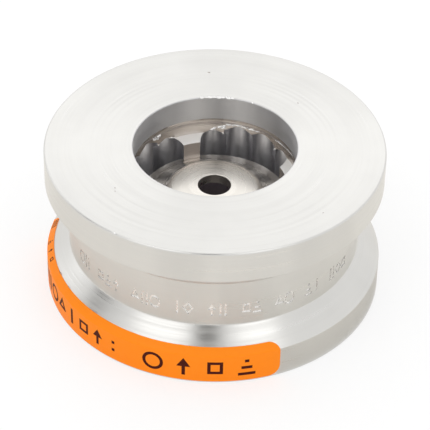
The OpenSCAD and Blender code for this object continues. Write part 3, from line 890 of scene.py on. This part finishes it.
class VALVE_OT_spring(bpy.types.Operator):
    """Closing spring of drawn wire between its two stamped washers"""

    bl_idname = "valve.spring"
    bl_label = "Spring and washers"

    def coil(self, sizes):
        """Wire swept along the coil: flat at both ends and rising evenly between."""
        wire_r = sizes.wire_d / 2
        coil_low, coil_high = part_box("closing_spring")
        closed = 0.75
        free = coil_high.z - coil_low.z - sizes.wire_d * (1 + 2 * closed)
        sides = 16
        per_turn = 56
        count = int(sizes.turns * per_turn)
        mesh = bmesh.new()
        rings = []
        for i in range(count + 1):
            t = sizes.turns * i / count
            rise = min(1, max(0, (t - closed) / (sizes.turns - 2 * closed)))
            shut = min(t, closed) + max(0, t - sizes.turns + closed)
            z = coil_low.z + wire_r + sizes.wire_d * shut + free * rise
            a = 2 * math.pi * t
            # The wire's two ends are rounded off
            ends = min(i, count - i)
            thick = wire_r * (0.75 if ends == 0 else 1)
            ring = []
            for j in range(sides):
                b = 2 * math.pi * j / sides
                r = sizes.coil_d / 2 + thick * math.cos(b)
                ring.append(mesh.verts.new(at(r, a, z + thick * math.sin(b))))
            rings.append(ring)
        skin(mesh, rings)
        mesh.faces.new(rings[0])
        mesh.faces.new(rings[-1])
        bmesh.ops.recalc_face_normals(mesh, faces=mesh.faces)
        return mesh

    def execute(self, context):
        sizes = context.scene.valve_disc_sizes
        colours = context.scene.valve_colours
        # Patented wire drawn through a die: smooth, grey and a little oily
        drawn = steel("drawn_wire", colours.spring, 0.26, 0.5 * MM, 0.0006 * MM, 0)
        # Washers stamped from strip: rolled sheet, with rounded shear edges
        stamped = steel("rolled_strip", colours.ring, 0.32, 0.5 * MM, 0.001 * MM, 0)
        spring = as_object("coiled_wire", self.coil(sizes), drawn)
        finish_piece(spring, "casing", ["closing_spring"])
        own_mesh(spring)
        for node, body in (("lower_spring_washer", "spring_plate"), ("upper_spring_washer", "casing")):
            washer_low, washer_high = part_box(node)
            in_r = sizes.coil_d - washer_high.x
            edge = 0.25 * MM
            turned_piece(f"{node}_stamped", [
                (in_r, washer_low.z, edge), (washer_high.x, washer_low.z, edge),
                (washer_high.x, washer_high.z, edge), (in_r, washer_high.z, edge)],
                stamped, body, node, SMALL_STEPS)
        return {"FINISHED"}


class VALVE_OT_cap(bpy.types.Operator):
    """Polished domed cap with its guide bush"""

    bl_idname = "valve.cap"
    bl_label = "Guide cap and bush"

    def execute(self, context):
        sizes = context.scene.valve_cap_sizes
        disc = context.scene.valve_disc_sizes
        body = context.scene.valve_body_sizes
        colours = context.scene.valve_colours
        # Spun dome polished with a fine wheel: clear soft reflections
        polished = steel("polished_stainless", colours.cap, 0.3, 0.7 * MM, 0.0004 * MM, 0.35)
        # Fluoropolymer filled with carbon, bored to size: dark and dull
        filled = grained("carbon_fluoropolymer", colours.filled_ptfe, 0.5, 1.4, 0.2 * MM, 0.004 * MM, 0.25)
        shoulder_z = top("valve_body") - body.shoulder_depth
        dome_r = sizes.dome_d / 2
        crown_z = shoulder_z + sizes.dome_rise - sizes.crown_r
        crown_turn = math.asin(sizes.crown_d / 2 / sizes.crown_r)
        edge_r = sizes.crown_edge_r
        along = sizes.crown_r - edge_r
        edge = Vector((along * math.sin(crown_turn), crown_z + along * math.cos(crown_turn)))
        away = Vector((dome_r, shoulder_z)) - edge
        skirt_turn = math.atan2(away.x, away.y) - math.acos(edge_r / away.length)
        hole_r = sizes.hole_d / 2
        bush_r = sizes.bush_d / 2
        hub_r = sizes.hub_d / 2
        cap_r = radius("guide_cap")
        hub_low = low("guide_bush")
        bush_top = top("guide_bush")
        landing_z = top("upper_spring_washer")
        shoulder = []
        for k in range(12):
            a = skirt_turn + (crown_turn - skirt_turn) * k / 12
            shoulder.append((edge.x + edge_r * math.sin(a), edge.y + edge_r * math.cos(a), 0))
        crown = arc(crown_z, sizes.crown_r, sizes.crown_d / 2, hole_r + 0.08 * MM, 16)
        hole_z = crown_z + math.sqrt(sizes.crown_r ** 2 - hole_r ** 2)
        turned_piece("domed_cap", [
            (sizes.mouth_d / 2, shoulder_z - sizes.rim_t, 0.2 * MM),
            (cap_r, shoulder_z - sizes.rim_t, 0.2 * MM), (cap_r, shoulder_z, 0.15 * MM),
            (dome_r, shoulder_z, 0.4 * MM), *shoulder, *crown,
            (hole_r, hole_z - 0.08 * MM, 0), (hole_r, bush_top, 0), (bush_r, bush_top, 0),
            (bush_r, hub_low, 0.1 * MM), (hub_r, hub_low, 0.15 * MM), (hub_r, landing_z, 0),
            (sizes.landing_d / 2, landing_z, 0)], polished, "casing", "guide_cap")
        bore_r = disc.stem_d / 2 + 0.05 * MM
        turned_piece("bored_bush", [
            (bore_r, hub_low, 0.3 * MM), (bush_r, hub_low, 0.05 * MM), (bush_r, bush_top, 0),
            (bore_r, bush_top, 0)],
            filled, "casing", "guide_bush", SMALL_STEPS)
        return {"FINISHED"}


class VALVE_OT_label(bpy.types.Operator):
    """Orange film label, folded on to the cone, with plain printed marks"""

    bl_idname = "valve.label"
    bl_label = "Label"

    def execute(self, context):
        sizes = context.scene.valve_label_sizes
        body = context.scene.valve_body_sizes
        colours = context.scene.valve_colours
        # Calendered vinyl with a thin clear coat: smooth, even and softly glossy
        film = grained("vinyl_film", colours.film, 0.4, 1.5, 1.5 * MM, 0.006 * MM, 0.03, 0.15)
        # Screen ink: flat and nearly matt
        ink = grained("screen_ink", colours.ink, 0.5, 1.5, 0.4 * MM, 0.002 * MM, 0.1, 0.15)
        rim_r = radius("valve_body")
        label_low = low("identification_label")
        fold_v = body.rim_len - label_low
        run = rim_r * sizes.span
        width = fold_v + sizes.fold
        bend_r = 0.5 * MM
        tangent = bend_r * math.tan(body.cone_angle / 2)
        step = 0.6 * MM
        # The film's gap to the steel, and the ink's depth in the film
        tuck = 0.005 * MM
        crease_w = 0.8 * MM
        # Share of the way along the label, and height in millimetres
        lifts = ((0.28, 0.25), (0.345, 0.2), (0.47, 0.45), (0.60, 0.2), (0.74, 0.4), (0.77, 0.35))

        def on_rim(u, v, w):
            a = sizes.start + u / rim_r
            past = v - (fold_v - tangent)
            turn = min(max(past / bend_r, 0), body.cone_angle)
            on_cone = max(0, past - bend_r * body.cone_angle)
            r = rim_r - bend_r * (1 - math.cos(turn)) - on_cone * math.sin(turn)
            z = label_low + min(v, fold_v - tangent) + bend_r * math.sin(turn) + on_cone * math.cos(turn)
            # The folded edge stands off the cone a little where the film creases
            edge = max(0, (v - fold_v) / sizes.fold) ** 2
            for share, height in lifts:
                w += height * MM * edge * math.exp(-((u - share * run) / crease_w) ** 2)
            r += w * math.cos(turn)
            z += w * math.sin(turn)
            return at(r, a, z)

        corner = sizes.corner_r
        shape = [(0, 0)]
        for centre_v, first in ((corner, -math.pi / 2), (width - corner, 0)):
            for k in range(9):
                a = first + math.pi / 2 * k / 8
                shape.append((run - corner + corner * math.cos(a), centre_v + corner * math.sin(a)))
        shape.append((sizes.slant, width))
        folds = [fold_v - tangent + bend_r * body.cone_angle * k / 4 for k in range(5)]
        folds += [fold_v + sizes.fold * k / 6 for k in range(2, 6)]
        plate = bent_plate([shape], tuck, sizes.film_t, on_rim, step, folds)
        label = as_object("film_label", plate, film)
        finish_piece(label, "casing", ["identification_label"])
        # Marks, height, pitch, share of the way along the label, and height of the feet
        rows = (
            (("ring", "arrow", "square", "steps"), 6.0 * MM, 8.6 * MM, 0.79, 1.8 * MM),
            (("steps", "square", "bars", "ring", "triangle", "bar", "square", "arrow", "dots"),
             5.2 * MM, 5.6 * MM, 0.342, 2.3 * MM),
            (("bar", "bar", "bar", "bar"), 2.1 * MM, 0.9 * MM, 0.055, fold_v + 0.4 * MM),
            (("steps", "arrow", "square"), 1.8 * MM, 4 * MM, 0.17, fold_v + 0.4 * MM),
        )
        for number, (names, height, gap, share, foot) in enumerate(rows):
            marks = [[(share * run + u, foot + v) for u, v in polygon]
                     for polygon in row_of_marks(names, height, gap, gap)]
            plate = bent_plate(marks, sizes.film_t - tuck, sizes.film_t + sizes.ink_t, on_rim, step)
            printed = as_object(f"printed_marks_{number + 1}", plate, ink)
            finish_piece(printed, "casing")
        return {"FINISHED"}


class VALVE_OT_stage(bpy.types.Operator):
    """Pale floor, soft lamps, white surroundings and the camera"""

    bl_idname = "valve.stage"
    bl_label = "Stage"

    def seen_share(self, tree, plain, seen):
        """Value that is plain for diffuse light and seen for the camera, mirrors and glass."""
        path = add(tree, "ShaderNodeLightPath")
        rays = path.outputs["Is Camera Ray"]
        for kind in ("Is Glossy Ray", "Is Transmission Ray"):
            either = add(tree, "ShaderNodeMath", {0: rays, 1: path.outputs[kind]}, operation="MAXIMUM")
            rays = either.outputs[0]
        share = add(tree, "ShaderNodeMapRange", {"Value": rays, "To Min": plain, "To Max": seen})
        return share.outputs["Result"]

    def floor(self, colours):
        material, tree = new_material("pale_floor")
        matt = add(tree, "ShaderNodeBsdfDiffuse", {"Color": (*colours.floor, 1)})
        glow = add(tree, "ShaderNodeEmission", {"Color": (*colours.floor, 1), "Strength": 1})
        above = add(tree, "ShaderNodeMixShader", {
            "Fac": self.seen_share(tree, 0, 0.62), 1: matt.outputs[0], 2: glow.outputs[0]})
        side = add(tree, "ShaderNodeNewGeometry")
        clear = add(tree, "ShaderNodeBsdfTransparent")
        sides = add(tree, "ShaderNodeMixShader", {
            "Fac": side.outputs["Backfacing"], 1: above.outputs[0], 2: clear.outputs[0]})
        add(tree, "ShaderNodeOutputMaterial", {"Surface": sides.outputs[0]})
        mesh = bmesh.new()
        bmesh.ops.create_circle(mesh, cap_ends=True, segments=64, radius=4)
        floor = as_object("floor", mesh, material)
        floor.location.z = -0.05 * MM

    def card(self, name, mesh, shade):
        """Card that only mirrors see: it gives the steel its darker reflections."""
        material, tree = new_material(name)
        matt = add(tree, "ShaderNodeBsdfDiffuse", {"Color": (*shade, 1)})
        add(tree, "ShaderNodeOutputMaterial", {"Surface": matt.outputs[0]})
        card = as_object(name, mesh, material)
        card.visible_camera = False
        card.visible_diffuse = False
        card.visible_shadow = False
        return card

    def flag(self, name, azimuth, elevation, distance, size):
        """Black card in the air."""
        card = self.card(name, box_mesh((size[0], size[1], 0.002), (0, 0, 0)), (0.06, 0.055, 0.05))
        self.aim(card, azimuth, elevation, distance)

    def floor_card(self, name, inner_r, outer_r, first, last, shade, z=0):
        """Warm grey card on the floor that only mirrors see, cut to part of a ring: painted shade in the
        steel's reflections. Azimuth 0 is the camera's side.
        """
        mesh = bmesh.new()
        edge = []
        for k in range(49):
            a = math.radians(first + (last - first) * k / 48)
            edge.append([mesh.verts.new((r * math.sin(a), -r * math.cos(a), z))
                         for r in (inner_r, outer_r)])
        for here, after in zip(edge, edge[1:]):
            mesh.faces.new((here[0], here[1], after[1], after[0]))
        self.card(name, mesh, (shade, shade * 0.97, shade * 0.91))

    def aim(self, thing, azimuth, elevation, distance):
        """Puts a lamp or card in that direction, facing the valve. Azimuth 0 is the camera's side."""
        a = math.radians(azimuth)
        e = math.radians(elevation)
        away = Vector((math.sin(a) * math.cos(e), -math.cos(a) * math.cos(e), math.sin(e)))
        middle = Vector((0, 0, 20 * MM))
        thing.location = middle + away * distance
        thing.rotation_euler = away.to_track_quat("Z", "Y").to_euler()

    def lamp(self, name, azimuth, elevation, distance, size, brightness):
        """Soft lamp of that brightness, where 1 is a white card in plain light."""
        data = bpy.data.lights.new(name, "AREA")
        data.shape = "RECTANGLE"
        data.size, data.size_y = size
        data.energy = brightness * math.pi * size[0] * size[1]
        self.aim(linked(name, data), azimuth, elevation, distance)

    def camera(self, stage):
        data = bpy.data.cameras.new("camera")
        data.sensor_width = 36
        data.lens = stage.focal / MM
        data.clip_start = 0.01
        camera = linked("camera", data)
        forward = Vector((0, math.cos(stage.elevation), -math.sin(stage.elevation)))
        level = Vector((1, 0, 0))
        upright = level.cross(forward)
        right = level * math.cos(stage.roll) - upright * math.sin(stage.roll)
        up = level * math.sin(stage.roll) + upright * math.cos(stage.roll)
        turn = Matrix((right, up, -forward)).transposed().to_4x4()
        target = Vector((stage.aim_x, 0, stage.aim_z))
        camera.matrix_world = Matrix.Translation(target - forward * stage.distance) @ turn
        bpy.context.scene.camera = camera

    def execute(self, context):
        scene = context.scene
        world = bpy.data.worlds.new("white_room")
        world.use_nodes = True
        tree = world.node_tree
        tree.nodes.clear()
        sky = add(tree, "ShaderNodeBackground", {
            "Color": (1, 1, 1, 1), "Strength": self.seen_share(tree, 0.92, 1)})
        add(tree, "ShaderNodeOutputWorld", {"Surface": sky.outputs[0]})
        scene.world = world
        self.floor(scene.valve_colours)
        self.lamp("back_softbox", 180, 42, 1.0, (0.9, 0.7), 0.4)
        self.lamp("left_softbox", -40, 54, 1.0, (0.55, 0.6), 0.9)
        self.lamp("right_softbox", 37, 54, 1.0, (0.38, 0.6), 0.9)
        self.lamp("side_softbox", -118, 26, 1.0, (0.4, 0.4), 0.5)
        # Black cards in the air that only mirrors see: painted dark reflections in the steel
        self.flag("front_card", -4, 48, 0.9, (0.2, 0.9))
        self.flag("side_card", -88, 34, 0.9, (0.16, 0.5))
        # Cards on the floor that only mirrors see: a painted contact shadow round the foot and painted
        # darker bands on the rims and neck, in the steel's reflections; the widest one warms them
        self.floor_card("warm_card", 48 * MM, 130 * MM, -180, 180, 0.99, -0.03 * MM)
        self.floor_card("contact_shadow_card", 48 * MM, 60 * MM, -180, 180, 0.8)
        self.floor_card("front_floor_card", 62 * MM, 74 * MM, 4, 36, 0.72)
        self.floor_card("left_floor_card", 86 * MM, 112 * MM, -26, -4, 0.8)
        self.floor_card("right_floor_card", 86 * MM, 112 * MM, 40, 80, 0.8)
        self.camera(scene.valve_stage)
        scene.view_settings.view_transform = "Standard"
        return {"FINISHED"}


OPERATORS = (VALVE_OT_body, VALVE_OT_inlet, VALVE_OT_disc, VALVE_OT_spring, VALVE_OT_cap,
             VALVE_OT_label, VALVE_OT_stage)
SETTINGS = {
    "valve_body_sizes": ValveBodySizes,
    "valve_inlet_sizes": ValveInletSizes,
    "valve_disc_sizes": ValveDiscSizes,
    "valve_cap_sizes": ValveCapSizes,
    "valve_label_sizes": ValveLabelSizes,
    "valve_colours": ValveColours,
    "valve_stage": ValveStage,
}


class VALVE_PT_pieces(bpy.types.Panel):
    """Lists the pieces of the valve and their settings"""

    bl_idname = "VALVE_PT_pieces"
    bl_label = "Non-return valve"
    bl_space_type = "VIEW_3D"
    bl_region_type = "UI"
    bl_category = "Valve"

    def draw(self, context):
        for operator in OPERATORS:
            self.layout.operator(operator.bl_idname)
        for name, group in SETTINGS.items():
            box = self.layout.box()
            for setting in group.__annotations__:
                box.prop(getattr(context.scene, name), setting)


def register():
    for group in SETTINGS.values():
        bpy.utils.register_class(group)
    for operator in OPERATORS:
        bpy.utils.register_class(operator)
    bpy.utils.register_class(VALVE_PT_pieces)
    for name, group in SETTINGS.items():
        setattr(bpy.types.Scene, name, bpy.props.PointerProperty(type=group))


def unregister():
    for name in SETTINGS:
        delattr(bpy.types.Scene, name)
    bpy.utils.unregister_class(VALVE_PT_pieces)
    for operator in reversed(OPERATORS):
        bpy.utils.unregister_class(operator)
    for group in reversed(SETTINGS.values()):
        bpy.utils.unregister_class(group)


def main():
    register()
    bpy.ops.valve.body()
    bpy.ops.valve.inlet()
    bpy.ops.valve.disc()
    bpy.ops.valve.spring()
    bpy.ops.valve.cap()
    bpy.ops.valve.label()
    bpy.ops.valve.stage()


if __name__ == "__main__":
    main()
